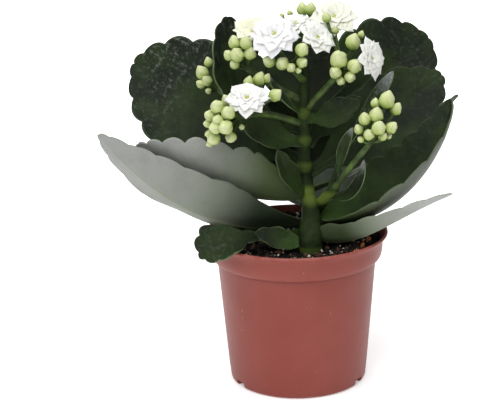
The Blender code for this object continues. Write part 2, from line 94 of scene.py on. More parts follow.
class Tint:
    """A value or colour on its way through a material, so that sums are written as sums."""

    def __init__(self, tree, socket=None):
        self.tree = tree
        self.socket = socket

    def node(self, kind, settings=None, inputs=None, out=0):
        """A node of this kind, its settings made and its sockets fed, as one of its outputs."""
        made = self.tree.nodes.new(kind)
        for name, value in (settings or {}).items():
            if name == "stops":
                marks = made.color_ramp.elements
                while len(marks) < len(value):
                    marks.new(0.5)
                for mark, (place, colour) in zip(marks, value):
                    mark.position = place
                    mark.color = (*colour, 1.0)
            else:
                setattr(made, name, value)
        for name, value in (inputs or {}).items():
            if isinstance(value, Tint):
                self.tree.links.new(value.socket, made.inputs[name])
            else:
                made.inputs[name].default_value = value
        return Tint(self.tree, made.outputs[out])

    def math(self, operation, first, second=0.0):
        return self.node("ShaderNodeMath", {"operation": operation}, {0: first, 1: second})

    def __add__(self, other):
        return self.math("ADD", self, other)

    def __sub__(self, other):
        return self.math("SUBTRACT", self, other)

    def __rsub__(self, other):
        return self.math("SUBTRACT", other, self)

    def __mul__(self, other):
        return self.math("MULTIPLY", self, other)

    __radd__ = __add__
    __rmul__ = __mul__

    def own_space(self):
        """Where a point lies in the piece's own space, in metres."""
        return self.node("ShaderNodeTexCoord", out=3)

    def axis(self, place, index):
        """One number of a place: 0 for x, 1 for y, 2 for z."""
        return self.node("ShaderNodeSeparateXYZ", None, {0: place}, out=index)

    def channel(self, attribute, index):
        """One channel of a colour that the mesh carries: 0 red, 1 green, 2 blue."""
        colour = self.node("ShaderNodeAttribute", {"attribute_name": attribute})
        return self.node("ShaderNodeSeparateColor", None, {0: colour}, out=index)

    def between(self, low, high):
        """0 below low, 1 above high and a smooth rise between them."""
        return self.node("ShaderNodeMapRange", {"interpolation_type": "SMOOTHSTEP"},
                         {0: self, 1: low, 2: high})

    def noise(self, scale, detail=4.0, where=None, rough=0.55):
        """Cloudy noise from 0 to 1, scale lumps to each unit of where, or to the metre."""
        return self.node("ShaderNodeTexNoise", None,
                         {"Vector": where or self.own_space(), "Scale": scale,
                          "Detail": detail, "Roughness": rough})

    def mix(self, amount, first, second):
        """A blend of two colours, amount of the second."""
        first = first if isinstance(first, Tint) else (*first, 1.0)
        second = second if isinstance(second, Tint) else (*second, 1.0)
        return self.node("ShaderNodeMix", {"data_type": "RGBA"}, {0: amount, 6: first, 7: second},
                         out=2)

    def bump(self, height, depth, strength=1.0):
        """The surface's small relief, depth metres high."""
        return self.node("ShaderNodeBump", None,
                         {"Height": height, "Distance": depth, "Strength": strength})


SOCKETS = {"roughness": "Roughness", "specular": "Specular IOR Level",
           "scatter": "Subsurface Weight", "scatter_reach": "Subsurface Radius",
           "glow": "Emission Strength"}


def finish(name, **fixed):
    """A new material, its shader, and a Tint to paint it with."""
    made = bpy.data.materials.new(name)
    made.use_nodes = True
    shader = made.node_tree.nodes["Principled BSDF"]
    for socket, value in fixed.items():
        shader.inputs[SOCKETS[socket]].default_value = value
    return made, shader, Tint(made.node_tree)


def feed(shader, tint, socket):
    tint.tree.links.new(tint.socket, shader.inputs[socket])


bpy.ops.mesh.primitive_plane_add(size=SWEEP_SIZE, location=(0.0, 0.0, SWEEP_LEVEL))
sweep = bpy.context.object
sweep.name = "floor"
sweep_cloth, sweep_shader, t = finish("floor_white", roughness=0.9, glow=0.38)
sweep_colour = t.mix(t.noise(3.0, 2.0), SWEEP_DULL, SWEEP_WHITE)
feed(sweep_shader, sweep_colour, "Base Color")
feed(sweep_shader, sweep_colour, "Emission Color")
sweep.data.materials.append(sweep_cloth)

# Pot. A thin nursery pot moulded in one shot of brownish terracotta polypropylene: rounded
# foot with three drain notches, six drain holes, tapered body, bulged band, flared lip.
MM = 0.001
RIM_R = 52.5
RIM_Z = 88.1
LIP_ROUND = 0.9
BAND_R = 49.6
BAND_Z = 72.5
BAND_TOP_Z = 84.2
BODY_R = 45.6
BODY_RINGS = 8
FOOT_R = 39.5
FOOT_ROUND = 2.2
WALL = 1.5
INNER_FLOOR_Z = 3.0
ROUND_SIDES = 160
NOTCH_TURNS = (90.0, 210.0, 330.0)
NOTCH_SIZE = (14.0, 8.0, 7.2)
NOTCH_ROUND = 1.0
DRAIN_HOLES = 6
DRAIN_R = 3.0
DRAIN_RING_R = 27.0
DRAIN_CUT_TALL = 20.0
RIM_CHIP = (50.6, 8.0, 84.0)
CHIP_R = 1.3
CHIP_ROUGH = 0.35
CHIP_GRAIN = 1600.0
SHARP_ANGLE = 38.0
CLAY_RED = (0.225, 0.042, 0.029)
WORN_RED = (0.25, 0.053, 0.039)
DARK_RED = (0.15, 0.026, 0.02)
LIP_HIGHLIGHT_PINK = (0.33, 0.1, 0.085)
SPECK_PINK = (0.45, 0.2, 0.16)


def settle(piece, name, nodes):
    """Gives a finished piece its name and its place in the frame."""
    piece.name = name
    piece.data.name = name
    bpy.ops.object.select_all(action="DESELECT")
    bpy.context.view_layer.objects.active = piece
    piece.select_set(True)
    bpy.ops.object.transform_apply(location=True, rotation=True, scale=True)
    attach(piece, "root")
    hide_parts(*nodes)


def edit(piece):
    """Opens one piece, and no other, in edit mode with all of it selected."""
    bpy.ops.object.select_all(action="DESELECT")
    bpy.context.view_layer.objects.active = piece
    piece.select_set(True)
    bpy.ops.object.mode_set(mode="EDIT")
    bpy.ops.mesh.select_all(action="SELECT")


def turn_up(profile):
    """A body of revolution: a disc drawn up ring by ring through (radius, height) in mm."""
    radius, height = profile[0]
    bpy.ops.mesh.primitive_circle_add(vertices=ROUND_SIDES, radius=radius * MM, fill_type="NGON",
                                      location=(0.0, 0.0, height * MM))
    piece = bpy.context.object
    bpy.ops.object.transform_apply(location=True, rotation=True, scale=True)
    edit(piece)
    for ring_radius, ring_height in profile[1:]:
        bpy.ops.mesh.extrude_region_move(
            TRANSFORM_OT_translate={"value": (0.0, 0.0, (ring_height - height) * MM)})
        grow = ring_radius / radius
        bpy.ops.transform.resize(value=(grow, grow, 1.0), center_override=(0.0, 0.0, 0.0))
        radius, height = ring_radius, ring_height
    bpy.ops.mesh.select_all(action="SELECT")
    bpy.ops.mesh.normals_make_consistent(inside=False)
    bpy.ops.object.mode_set(mode="OBJECT")
    return piece


def arc(middle, radius, start, stop, steps):
    """Points of a rounded corner in the profile, angles in degrees from straight out."""
    points = []
    for i in range(steps + 1):
        angle = math.radians(start + (stop - start) * i / steps)
        points.append((middle[0] + radius * math.cos(angle), middle[1] + radius * math.sin(angle)))
    return points


pot_profile = arc((FOOT_R - FOOT_ROUND, FOOT_ROUND), FOOT_ROUND, -90, -5, 6)
pot_profile += [(FOOT_R + (BODY_R - FOOT_R) * i / BODY_RINGS, BAND_Z * i / BODY_RINGS)
                for i in range(1, BODY_RINGS)]
pot_profile += [(BODY_R - 0.05, BAND_Z - 1.2), (BODY_R, BAND_Z - 0.3), (BODY_R + 0.5, BAND_Z)]
pot_profile += [(BAND_R - 2.5, BAND_Z + 0.3), (BAND_R - 1.5, BAND_Z + 1.2),
                (BAND_R - 0.7, BAND_Z + 2.8), (BAND_R - 0.25, BAND_Z + 5.0),
                (BAND_R, BAND_Z + 8.0), (BAND_R, BAND_TOP_Z - 0.6), (BAND_R + 0.25, BAND_TOP_Z),
                (RIM_R - 1.4, RIM_Z - 2.2)]
pot_profile += arc((RIM_R - LIP_ROUND, RIM_Z - LIP_ROUND), LIP_ROUND, -50, 180, 9)
pot_profile += [(RIM_R - 2.1, RIM_Z - 1.6), (BAND_R - WALL + 0.3, BAND_TOP_Z - 0.4),
                (BAND_R - WALL, BAND_TOP_Z - 1.6), (BAND_R - WALL - 0.4, BAND_Z + 5.0),
                (BODY_R + 0.2, BAND_Z + 2.4), (BODY_R - WALL, BAND_Z - 0.5),
                (FOOT_R - WALL, INNER_FLOOR_Z + 1.4), (FOOT_R - WALL - 1.6, INNER_FLOOR_Z)]
pot = turn_up(pot_profile)


def cut_away(piece, cutter):
    """Takes the cutter's shape out of the piece and clears the cutter away."""
    cut = piece.modifiers.new("cut", "BOOLEAN")
    cut.operation = "DIFFERENCE"
    cut.solver = "EXACT"
    cut.object = cutter
    bpy.ops.object.select_all(action="DESELECT")
    bpy.context.view_layer.objects.active = piece
    piece.select_set(True)
    bpy.ops.object.modifier_apply(modifier=cut.name)
    bpy.data.objects.remove(cutter, do_unlink=True)


def on_ring(turn, radius):
    """A place on the pot's underside, radius mm from its middle, turn degrees round."""
    way = math.radians(turn)
    return math.cos(way) * radius * MM, math.sin(way) * radius * MM, 0.0


for turn in NOTCH_TURNS:
    bpy.ops.mesh.primitive_cube_add(
        size=1.0, location=on_ring(turn, FOOT_R), rotation=(0.0, 0.0, math.radians(turn)),
        scale=[side * MM for side in NOTCH_SIZE])
    notch_cut = bpy.context.object
    soften = notch_cut.modifiers.new("soften", "BEVEL")
    soften.width = NOTCH_ROUND * MM
    soften.segments = 3
    bpy.ops.object.modifier_apply(modifier=soften.name)
    cut_away(pot, notch_cut)
for i in range(DRAIN_HOLES):
    bpy.ops.mesh.primitive_cylinder_add(
        vertices=32, radius=DRAIN_R * MM, depth=DRAIN_CUT_TALL * MM,
        location=on_ring(180.0 + 360.0 / DRAIN_HOLES * i, DRAIN_RING_R))
    cut_away(pot, bpy.context.object)

bpy.ops.mesh.primitive_ico_sphere_add(subdivisions=2, radius=CHIP_R * MM,
                                      location=[c * MM for c in RIM_CHIP])
chip_cut = bpy.context.object
for vert in chip_cut.data.vertices:
    vert.co *= 1.0 + CHIP_ROUGH * noise.noise(vert.co * CHIP_GRAIN)
cut_away(pot, chip_cut)
edit(pot)
bpy.ops.mesh.remove_doubles(threshold=0.00001)
bpy.ops.object.mode_set(mode="OBJECT")
bpy.ops.object.shade_smooth_by_angle(angle=math.radians(SHARP_ANGLE))

pot_plastic, pot_shader, t = finish("pot_plastic", specular=0.3)
pot_colour = t.mix(t.noise(26.0, 3.0).between(0.35, 0.75), CLAY_RED, WORN_RED)
height = t.axis(t.own_space(), 2)
# Painted highlight: a broken pink line round the top of the lip, where the light catches it.
painted_lip_highlight = height.between((RIM_Z - 1.9) * MM, (RIM_Z - 0.9) * MM)
painted_lip_highlight = painted_lip_highlight * t.noise(240.0, 4.0).between(0.3, 0.6)
pot_colour = t.mix(painted_lip_highlight * 0.6, pot_colour, LIP_HIGHLIGHT_PINK)
# Painted shadow: a dark red line just under the band's step.
painted_shadow_under_band = height.between((BAND_Z - 1.7) * MM, (BAND_Z - 0.2) * MM)
painted_shadow_under_band = painted_shadow_under_band - height.between((BAND_Z + 0.2) * MM, (BAND_Z + 1.1) * MM)
pot_colour = t.mix(painted_shadow_under_band * 0.55, pot_colour, DARK_RED)
specks = t.noise(330.0, 2.0, rough=0.4).between(0.74, 0.79)
pot_colour = t.mix(specks * 0.6, pot_colour, SPECK_PINK)
scuffs = t.noise(90.0, 6.0, rough=0.7).between(0.55, 0.85)
pot_colour = t.mix(scuffs * 0.18, pot_colour, DARK_RED)
feed(pot_shader, pot_colour, "Base Color")
feed(pot_shader, 0.36 + 0.16 * t.noise(60.0, 5.0), "Roughness")
feed(pot_shader, t.bump(t.noise(1500.0, 3.0) + specks * 0.8, 0.00008), "Normal")
pot.data.materials.append(pot_plastic)
settle(pot, "pot_shell", ["pot"])

# Soil. Dark peat pressed round the root ball, which fills the pot to just under the lip. It
# is heaped to the right and a little at the back left. Each heap: its middle, how tall it
# is and the square of how far it spreads.
SOIL_Z = 83.0
SOIL_R = 47.6
SOIL_RINGS = 44
HEAPS = [(34.0, -8.0, 4.5, 420.0), (-22.0, 34.0, 2.25, 300.0)]
LUMP_TALL = 1.6
LUMP_SCALE = 0.16
FINE_TALL = 0.9
FINE_SCALE = 0.55
WALL_CALM = 3.0
PEAT_BLACK = (0.003, 0.0028, 0.003)
PEAT_BROWN = (0.016, 0.012, 0.01)


def soil_height(x, y):
    """Height of the soil over its level, in mm: heaps, lumps and fine crumb."""
    heap = sum(tall * math.exp(-((x - heap_x) ** 2 + (y - heap_y) ** 2) / spread)
               for heap_x, heap_y, tall, spread in HEAPS)
    lump = noise.noise(Vector((x * LUMP_SCALE, y * LUMP_SCALE, 3.1))) * LUMP_TALL
    fine = noise.fractal(Vector((x * FINE_SCALE, y * FINE_SCALE, 7.7)), 0.7, 2.1, 4) * FINE_TALL
    from_wall = min(1.0, max(0.0, (SOIL_R - math.hypot(x, y)) / WALL_CALM))
    return heap + lump + fine * (0.4 + 0.6 * from_wall)


soil_profile = [(SOIL_R - 2.6, SOIL_Z - 5.0), (SOIL_R - 0.2, SOIL_Z - 2.0), (SOIL_R, SOIL_Z)]
soil_profile += [(SOIL_R * (1 - i / SOIL_RINGS), SOIL_Z + 1.0) for i in range(1, SOIL_RINGS)]
soil = turn_up(soil_profile)
for vert in soil.data.vertices:
    x, y, z = vert.co / MM
    if z > SOIL_Z - 0.5:
        vert.co.z += soil_height(x, y) * MM
bpy.ops.object.shade_smooth()
peat, peat_shader, t = finish("peat", roughness=0.95, specular=0.08)
damp = t.noise(300.0, 8.0, rough=0.75).between(0.35, 0.75)
feed(peat_shader, t.mix(damp, PEAT_BLACK, PEAT_BROWN), "Base Color")
feed(peat_shader, t.bump(t.noise(900.0, 8.0, rough=0.8), 0.0008), "Normal")
soil.data.materials.append(peat)
settle(soil, "soil_top", ["soil"])

# Loose crumbs. Perlite, tan grit, bark dust and peat lie scattered on the soil, every third
# one swept to the front edge, with four larger bark chips. A crumb's shade says what it is,
# from 0 for peat to 1 for perlite: each kind is the least draw that gives it, and its shade.
CRUMB_COUNT = 540
CRUMB_KINDS = [(0.8, 0.95), (0.62, 0.55), (0.5, 0.3), (0.0, 0.05)]
PALE_SIZES = (0.35, 0.95)
DARK_SIZES = (0.4, 1.5)
CRUMB_REACH = 0.975
SWEPT_FROM = 0.78
SWEPT_TURN = -62.0
SWEPT_SPREAD_RADIANS = 0.5
FINE_CRUMB = 0.8
CRUMB_KNOCK = 0.9
BARK_SPOTS = [(36.0, -28.0), (40.0, -20.0), (33.0, -33.0), (-40.0, -16.0)]
BARK_SIZE = 1.9
BARK_SQUASH = 0.5
BARK_SHADE = 0.42
CRUMB_COLOURS = [(0.0, (0.006, 0.005, 0.005)), (0.3, (0.07, 0.035, 0.022)),
                 (BARK_SHADE, (0.42, 0.15, 0.05)), (0.6, (0.38, 0.27, 0.16)),
                 (1.0, (0.6, 0.57, 0.52))]
CRUMB_DIRT = (0.01, 0.008, 0.007)
crumb_rng = random.Random(11)


def drop_crumb(place, size, squash, shade):
    """One crumb of the mix, knocked out of round and turned at random."""
    bpy.ops.mesh.primitive_ico_sphere_add(subdivisions=1 if size < FINE_CRUMB else 2, radius=1.0)
    crumb = bpy.context.object
    turn = Matrix.Rotation(crumb_rng.uniform(0, 6.28), 3,
                           Vector((crumb_rng.random(), 0.4, 0.7)).normalized())
    for vert in crumb.data.vertices:
        knock = 1.0 + CRUMB_KNOCK * noise.noise(vert.co * 1.3 + Vector((*place[:2], size)))
        local = turn @ Vector((vert.co.x * knock, vert.co.y * squash * knock, vert.co.z * knock))
        vert.co = (local * size + Vector(place)) * MM
    layer = crumb.data.color_attributes.new("shade", "FLOAT_COLOR", "POINT")
    for point in layer.data:
        point.color = (shade, crumb_rng.random(), 0.0, 1.0)
    return crumb


def join_up(pieces):
    """Makes one object of many and hands it back."""
    bpy.ops.object.select_all(action="DESELECT")
    for piece in pieces:
        piece.select_set(True)
    bpy.context.view_layer.objects.active = pieces[0]
    bpy.ops.object.join()
    return bpy.context.object


crumbs = []
for i in range(CRUMB_COUNT):
    way = crumb_rng.uniform(0.0, 2.0 * math.pi)
    reach = SOIL_R * CRUMB_REACH * math.sqrt(crumb_rng.random())
    if i % 3 == 0:
        way = crumb_rng.gauss(math.radians(SWEPT_TURN), SWEPT_SPREAD_RADIANS)
        reach = SOIL_R * crumb_rng.uniform(SWEPT_FROM, CRUMB_REACH)
    x, y = reach * math.cos(way), reach * math.sin(way)
    draw = crumb_rng.random()
    shade = next(kind for least, kind in CRUMB_KINDS if draw >= least)
    size = crumb_rng.uniform(*(PALE_SIZES if shade > 0.5 else DARK_SIZES))
    place = (x, y, SOIL_Z + 1.0 + soil_height(x, y) + size * 0.25)
    crumbs.append(drop_crumb(place, size, crumb_rng.uniform(0.55, 1.0), shade))
for x, y in BARK_SPOTS:
    place = (x, y, SOIL_Z + 1.6 + soil_height(x, y))
    crumbs.append(drop_crumb(place, BARK_SIZE, BARK_SQUASH, BARK_SHADE))
crumb_bed = join_up(crumbs)
grit, grit_shader, t = finish("grit", roughness=0.85, specular=0.25)
own_colour = t.node("ShaderNodeValToRGB", {"stops": CRUMB_COLOURS}, {0: t.channel("shade", 0)})
dirt = t.noise(700.0, 5.0, rough=0.7).between(0.5, 0.72)
feed(grit_shader, t.mix(dirt * 0.9, own_colour, CRUMB_DIRT), "Base Color")
feed(grit_shader, t.bump(t.noise(2600.0, 5.0), 0.0003), "Normal")
crumb_bed.data.materials.append(grit)
settle(crumb_bed, "soil_crumbs", ["soil"])

# Stem. One green fleshy stem with swollen, paler nodes, a side shoot that leaves it low
# down and a thicker second foot in front; smooth, a little waxy, darker between the nodes.
STEM_PATH = [(9.0, -3.0, 76.0), (9.0, -3.0, 84.0), (7.5, -2.0, 104.0), (5.6, -0.3, 121.0),
             (5.3, 0.0, 126.0), (5.3, 0.0, 131.0), (5.3, 0.0, 137.0), (5.3, 0.0, 141.0),
             (5.35, 0.0, 145.0), (5.45, 0.0, 153.0), (5.5, 0.0, 157.0), (5.6, 0.0, 161.0),
             (5.9, 0.0, 176.0), (6.0, 0.0, 187.0)]
STEM_RADII = [6.6, 5.6, 4.7, 3.7, 4.7, 3.6, 3.45, 4.5, 3.4, 3.2, 4.1, 3.1, 2.8, 2.3]
SIDE_SHOOT = [(8.0, -2.0, 98.0), (15.0, -10.0, 108.0), (21.0, -17.0, 117.0)]
SIDE_RADII = [4.4, 3.3, 2.9]
SECOND_FOOT = [(7.5, -3.0, 108.0), (8.0, -14.0, 101.0), (7.0, -26.0, 93.0),
               (7.0, -27.5, 86.0), (7.0, -27.5, 82.0)]
FOOT_RADII = [4.0, 5.4, 6.6, 6.4, 5.8]
STEM_DARK = (0.008, 0.014, 0.004)
STEM_GREEN = (0.018, 0.034, 0.007)
NODE_GREEN = (0.075, 0.115, 0.018)
COLLAR_GREEN = (0.17, 0.24, 0.04)
PALE_RINGS = [(85.5, 3.0, NODE_GREEN), (111.0, 6.0, COLLAR_GREEN), (126.0, 4.0, NODE_GREEN),
              (141.0, 4.0, NODE_GREEN), (157.0, 4.5, NODE_GREEN)]


def stalk(path, radii, fine, smooth):
    """A round stalk drawn through the path (mm), as thick as radii say, with capped ends."""
    bpy.ops.curve.primitive_bezier_curve_add()
    line = bpy.context.object
    spline = line.data.splines[0]
    spline.bezier_points.add(len(path) - 2)
    for point, place, radius in zip(spline.bezier_points, path, radii):
        point.co = Vector(place) * MM
        point.radius = radius
        point.handle_left_type = "AUTO"
        point.handle_right_type = "AUTO"
    line.data.bevel_depth = MM
    line.data.bevel_resolution = fine
    line.data.resolution_u = smooth
    line.data.use_fill_caps = True
    bpy.ops.object.convert(target="MESH")
    piece = bpy.context.object
    edit(piece)
    bpy.ops.mesh.remove_doubles(threshold=0.000005)
    bpy.ops.mesh.normals_make_consistent(inside=False)
    bpy.ops.object.mode_set(mode="OBJECT")
    bpy.ops.object.shade_smooth()
    return piece


stem = join_up([stalk(STEM_PATH, STEM_RADII, 8, 10), stalk(SIDE_SHOOT, SIDE_RADII, 6, 10),
                stalk(SECOND_FOOT, FOOT_RADII, 8, 10)])
for vert in stem.data.vertices:
    lift = 0.22 * noise.noise(vert.co * 230.0) + 0.1 * noise.noise(vert.co * 700.0)
    vert.co += vert.normal * lift * MM

stem_green, stem_shader, t = finish("stem_green", specular=0.14)
height = t.axis(t.own_space(), 2)
stem_colour = t.mix(t.noise(120.0, 4.0).between(0.35, 0.7), STEM_DARK, STEM_GREEN)
for ring_z, reach, ring_green in PALE_RINGS:
    away = t.math("ABSOLUTE", height - ring_z * MM)
    ring = 1.0 - away.between(0.3 * reach * MM, reach * MM)
    stem_colour = t.mix(ring * 0.55, stem_colour, ring_green)
feed(stem_shader, stem_colour, "Base Color")
feed(stem_shader, 0.58 + 0.2 * t.noise(400.0, 3.0), "Roughness")
feed(stem_shader, t.bump(t.noise(1300.0, 4.0), 0.00015), "Normal")
stem.data.materials.append(stem_green)
settle(stem, "stem_body", ["stem"])

# Leaves. Thick waxy blades with deep rounded scallops, a sunken midrib and a pale margin;
# the upper face is near black green under a grey bloom that is partly a painted sheen, and
# the underside pale and dull, darkened by painted shade near the stem and on the leaves at the back.
# Four narrow leaves without scallops stand under the flowers, grey with felt at the tip.
LEAF_THICK = 2.0
PETIOLE_HALF = 4.2
LARGE_HALF = 15
LARGE_ROWS = 14
SMALL_ROWS = 8
NARROW_ROWS = 6
LOBE_STEPS = 8
NARROW_STEPS = 48
LOBES_FROM = 0.22
LOBES_GROW = 0.2
TIP_FROM = 0.86
TIP_CALM = 0.55
FOLD_AT_RIB = 0.35
WAVES = 15.0
VEINS = 26.0
VEIN_SLANT = 5.5
VEIN_DEEP = 0.22
DIMPLE_DEEP = 0.55
DIMPLE_SCALE = 0.072
LEAF_BLACK = (0.008, 0.0125, 0.005)
LEAF_DEEP = (0.018, 0.032, 0.008)
LEAF_FRESH = (0.05, 0.105, 0.018)
LEAF_EDGE = (0.12, 0.16, 0.09)
BLOOM_AND_SHEEN_GREY = (0.15, 0.168, 0.15)
TIP_GREY = (0.24, 0.25, 0.25)
UNDER_PALE = (0.38, 0.385, 0.372)
UNDER_GREY = (0.1, 0.115, 0.085)
UNDER_SAGE = (0.14, 0.165, 0.105)
UNDER_FRESH = (0.055, 0.08, 0.027)
UNDER_RIB = (0.2, 0.26, 0.13)
UNDER_BASE_SHADE = (0.012, 0.02, 0.007)
UNDER_DULL_AND_SHADE = (0.02, 0.03, 0.014)
MARGIN_DARK = (0.03, 0.045, 0.018)
MARGIN_MID = (0.06, 0.09, 0.03)
MARGIN_PALE = (0.2, 0.27, 0.12)

# Each leaf: four points of its spine from the stem to the tip, the point its upper face
# looks at, half width, where along it is widest, how far its right and left halves fold up
# (degrees, seen along it from the stem), the lobes round its edge and their depth, how high
# it waves, its right half's width against its left, and three tones from 0 to 1: grey bloom
# and painted sheen on the upper face, green of both faces near the stem, and paleness of the
# underside and edge, partly the leaf's own and partly painted light, kept low on the leaves
# at the back as painted shade.
LEAVES = {
    "leaf_upper_left": ((3.2, 2.6, 128), (-22, 16, 135), (-60, 38, 163), (-93, 50, 178),
                        (-80, -500, 330), 35, 0.62, (12, 12), (20, 2.8), 2.0, 1.0, (1.0, 0.35, 0.5)),
    "leaf_upright": ((3.9, 2.2, 148), (-28, 8, 150), (-36, 12, 176), (-36, 20, 209),
                     (200, -260, 220), 19, 0.68, (16, 16), (18, 2.2), 1.2, 1.0, (0.7, 0.15, 0.5)),
    "leaf_low_left": ((5.1, -3.3, 94), (-30, -17, 89), (-72, -33, 109), (-106, -40, 157),
                      (20, 225, 418), 23, 0.52, (14, 40), (22, 1.3), 1.0, 1.0, (0.5, 0.0, 0.74)),
    "leaf_left": ((4, -1.8, 109), (-24, -11, 106), (-52, -22, 128), (-86, -33, 149),
                  (20, 225, 418), 23, 0.46, (20, 55), (22, 3.2), 1.0, 1.0, (0.5, 1.0, 0.78)),
    "leaf_over_rim": ((6.4, -6, 88), (-9, -21, 89), (-33, -37, 103), (-54, -46, 88),
                      (-110, -300, 300), 13, 0.85, (14, 24), (17, 3.2), 1.0, 1.0, (0.5, 0.3, 0.5)),
    "leaf_low_right": ((9, -24, 92.5), (30, -31, 83.5), (48, -34, 103), (84, -37, 118.5),
                       (-30, 225, 400), 12, 0.24, (50, 60), (18, 0.9), 0.8, 0.85, (0.5, 0.4, 1.0)),
    "leaf_right": ((10.9, -4.2, 98.5), (38, -26, 88), (83, -30, 127), (87, -6, 164),
                   (-140, -120, 452), 31, 0.42, (75, 28), (22, 2.6), 1.0, 0.5, (0.15, 0.7, 0.3)),
    "leaf_upper_right": ((6.9, 2.2, 138), (23, 34, 152), (60, 45, 174), (82, 54, 188),
                         (80, -500, 330), 32, 0.60, (12, 12), (20, 2.8), 1.6, 1.0, (0.25, 0.3, 0.5)),
    "leaf_mid_right": ((7.9, 1.3, 122), (31, 10.5, 132.5), (60, 22, 152), (86, 23, 172),
                       (20, -420, 420), 24, 0.60, (12, 12), (18, 2.4), 1.2, 1.0, (0.15, 0.3, 0.1)),
    "leaf_edge_right": ((8.2, 1.5, 112), (38, 20, 115), (74, 36, 133), (97, 36, 157),
                        (-100, 160, 500), 19, 0.60, (14, 14), (16, 2.2), 1.0, 1.0, (0.1, 0.4, 0.05)),
    "leaf_small_right": ((10.8, 0, 92), (24, 8, 99), (40, 8, 105), (53, 5, 103),
                         (30, -200, 400), 11, 0.62, (12, 12), (12, 1.4), 0.6, 1.0, (0.1, 1.0, 0.0)),
    "leaf_back_left": ((5.8, 0.6, 103), (-13, 30, 103), (-34, 62, 114), (-46, 90, 134),
                       (20, 20, 500), 27, 0.60, (14, 14), (18, 2.4), 1.2, 1.0, (0.1, 0.4, 0.1)),
    "leaf_back_right": ((8.8, 0.8, 98), (15, 28, 97), (30, 60, 106), (42, 88, 130),
                        (20, 20, 500), 25, 0.60, (14, 14), (18, 2.4), 1.2, 1.0, (0.1, 0.4, 0.0)),
    "leaf_back_top": ((6.8, 2, 154), (7, 18, 158), (8, 29, 176), (6, 33, 199),
                      (0, -300, 420), 25, 0.55, (14, 14), (16, 2.0), 1.0, 1.0, (0.4, 0.2, 0.4)),
    "leaf_back_mid": ((6.2, 1.5, 117), (4, 20, 121), (-2, 32, 140), (-6, 36, 165),
                      (0, -300, 420), 24.5, 0.56, (14, 14), (16, 2.0), 1.0, 1.0, (0.4, 0.2, 0.4)),
    "leaf_stem_left": ((3.2, -1.9, 141), (-7, -6, 141), (-20, -6, 149), (-34, -5, 162),
                       (60, -260, 330), 9.5, 0.55, (12, 12), (11, 1.2), 0.6, 1.0, (0.2, 0.4, 0.1)),
    "leaf_stem_right": ((7.8, -1.4, 154), (15, -8, 154), (25, -12, 159), (36, -14, 168),
                        (20, -400, 300), 7.5, 0.55, (12, 12), (11, 1.0), 0.6, 1.0, (0.2, 0.4, 0.1)),
    "leaf_front_base": ((4, -27, 89), (-6, -30, 90), (-14, -30, 95), (-24, -31, 96.5),
                        (0, -400, 300), 6, 0.5, (12, 12), (9, 0.8), 0.6, 1.0, (0.1, 1.0, 0.9)),
    "leaf_shoot_left": ((4.5, -5, 112), (-3, -11, 119), (-7, -15, 128), (-10, -17, 140),
                        (60, -260, 300), 7, 0.5, (30, 30), (9, 0.8), 0.6, 1.0, (0.2, 0.5, 0.1)),
    "bract_low": ((19, -14, 112), (28, -20, 109), (35, -31, 120), (36.5, -31, 137),
                  (-60, -400, 330), 3.6, 0.55, (25, 25), (0, 0.0), 0.0, 1.0, (0.6, 0.3, 0.7)),
    "bract_mid": ((23.8, -20, 126.6), (23.6, -20, 135), (26.5, -23, 144), (31, -25, 153.5),
                  (-60, -400, 330), 3.4, 0.55, (25, 25), (0, 0.0), 0.0, 1.0, (0.6, 0.3, 0.7)),
    "bract_left": ((3.4, -1.9, 157), (-4, -9, 164), (-11, -12, 172), (-14, -12, 181),
                   (60, -260, 330), 2.4, 0.5, (30, 30), (0, 0.0), 0.0, 1.0, (0.3, 0.6, 0.6)),
    "bract_long": ((19, -13.5, 114.5), (22, -10, 132), (38, -15, 156), (54, -14, 182),
                   (-60, -400, 330), 4.2, 0.80, (25, 25), (0, 0.0), 0.0, 1.0, (0.8, 0.3, 0.7)),
}


def bezier(points, s):
    a, b, c, d = (Vector(p) for p in points)
    rest = 1.0 - s
    return a * rest**3 + b * 3 * rest * rest * s + c * 3 * rest * s * s + d * s**3


def leaf_axes(spine, focus, s):
    """Place, upper side and sideways direction at s along a leaf."""
    here = bezier(spine, s)
    ahead = (bezier(spine, s + 0.01) - bezier(spine, s - 0.01)).normalized()
    look = Vector(focus) - here
    upper = (look - ahead * look.dot(ahead)).normalized()
    return here, upper, ahead.cross(upper)


def half_width(s, half, widest):
    """The blade's half width at s: a swell that is fuller past its widest place."""
    s = min(max(s, 0.0), 1.0)
    swell = math.sin(math.pi * s ** (math.log(0.5) / math.log(widest)))
    toward_stalk = 0.75 if widest < 0.55 else 1.05
    blade = max(swell, 0.0) ** (toward_stalk if s < widest else 0.62)
    return max(half * blade, PETIOLE_HALF * (1.0 - s) * min(1.0, half / 10.0))


def flat_point(t, f, length, half, widest, lobes, notch, share):
    """A leaf laid flat: t runs round its edge and f from its midrib to the edge. The lobes
    begin past the stalk, differ a little in depth and are shallower at the tip."""
    s = 0.5 - 0.5 * math.cos(2.0 * math.pi * t)
    side = 1.0 if t < 0.5 else -1.0
    across = half_width(s, half, widest)
    rib = min(max(s - 0.14 * across / half, 0.0), 0.93)
    across *= share if t < 0.5 else 1.0
    reach = math.hypot((s - rib) * length, across)
    fade = min(max((s - LOBES_FROM) / LOBES_GROW, 0.0), 1.0)
    push = notch * fade * (abs(math.sin(math.pi * lobes * t)) ** 0.75 - 0.65)
    push *= 1.05 + 0.2 * math.sin(9.0 * t + half)
    push *= 1.0 - TIP_CALM * max(0.0, s - TIP_FROM) / (1.0 - TIP_FROM)
    scale = (reach + push * f) / reach if reach > 0.01 else 1.0
    return rib + f * scale * (s - rib), side * f * scale * across


